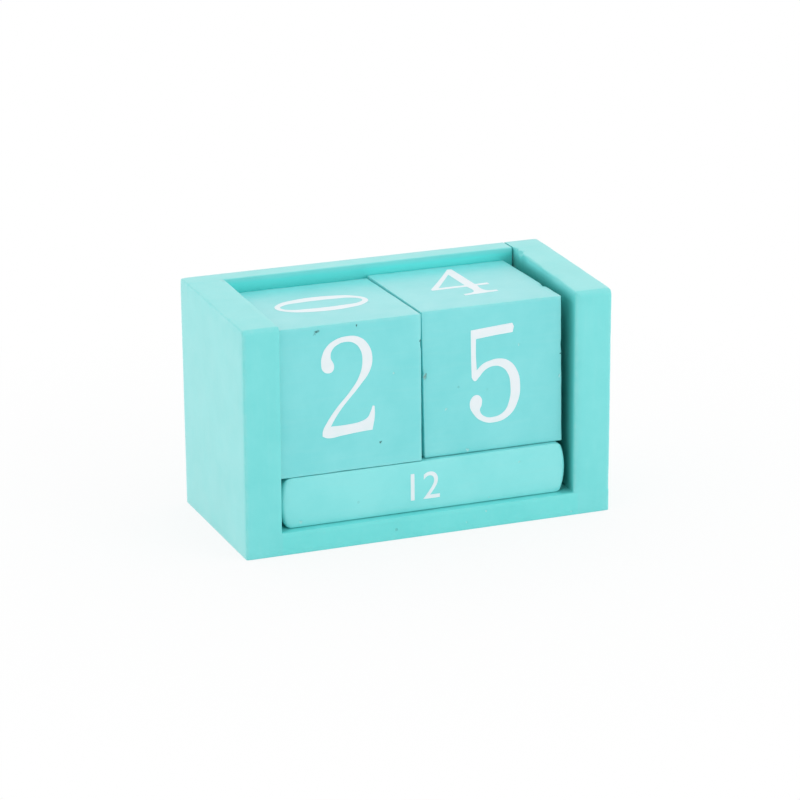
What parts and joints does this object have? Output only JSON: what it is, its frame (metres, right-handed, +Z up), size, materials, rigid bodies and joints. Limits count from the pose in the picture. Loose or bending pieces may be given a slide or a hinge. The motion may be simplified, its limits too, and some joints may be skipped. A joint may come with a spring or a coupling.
{
  "type": "perpetual block calendar",
  "caption": "Open painted wooden desk case with loose date cubes standing on loose month bars, turned by hand to show the day and the month.",
  "frame": {"origin": "on the table, under the middle of the case", "axes": "+X to the reader's right along the case's width, +Y from the front of the case to its back, +Z up"},
  "size_m": [0.117, 0.0574, 0.0715],
  "materials": {
    "case_paint": "matt turquoise paint on sanded wood",
    "cube_paint": "matt turquoise paint on a sanded wooden cube, with white figures",
    "bar_paint": "satin turquoise paint on a sanded wooden bar, with white figures",
    "brad_steel": "bright drawn wire"
  },
  "bodies": {
    "case": {"left_side_board": "case_paint", "right_side_board": "case_paint", "back_board": "case_paint", "base_board": "case_paint", "side_to_base_brads": "brad_steel", "side_to_back_brads": "brad_steel", "back_to_base_brads": "brad_steel"},
    "tens_cube": {"tens_cube": "cube_paint"},
    "units_cube": {"units_cube": "cube_paint"},
    "month_bar_front": {"month_bar_front": "bar_paint"},
    "month_bar_middle": {"month_bar_middle": "bar_paint"},
    "month_bar_rear": {"month_bar_rear": "bar_paint"}
  },
  "joints": [
    {"name": "tens_cube_lift", "type": "slide", "parent": "case", "child": "tens_cube", "axis": [0, 0, 1], "range_m": [0, 0.06]},
    {"name": "units_cube_lift", "type": "slide", "parent": "case", "child": "units_cube", "axis": [0, 0, 1], "range_m": [0, 0.06]},
    {"name": "month_bar_front_pull", "type": "slide", "parent": "case", "child": "month_bar_front", "axis": [0, -1, 0], "range_m": [0, 0.064]},
    {"name": "month_bar_middle_pull", "type": "slide", "parent": "case", "child": "month_bar_middle", "axis": [0, -1, 0], "range_m": [0, 0.058]},
    {"name": "month_bar_rear_pull", "type": "slide", "parent": "case", "child": "month_bar_rear", "axis": [0, -1, 0], "range_m": [0, 0.052]}
  ],
  "couplings": [
    {"joint": "month_bar_middle_pull", "follows": "month_bar_front_pull", "ratio": 0.90625},
    {"joint": "month_bar_rear_pull", "follows": "month_bar_front_pull", "ratio": 0.8125}
  ]
}
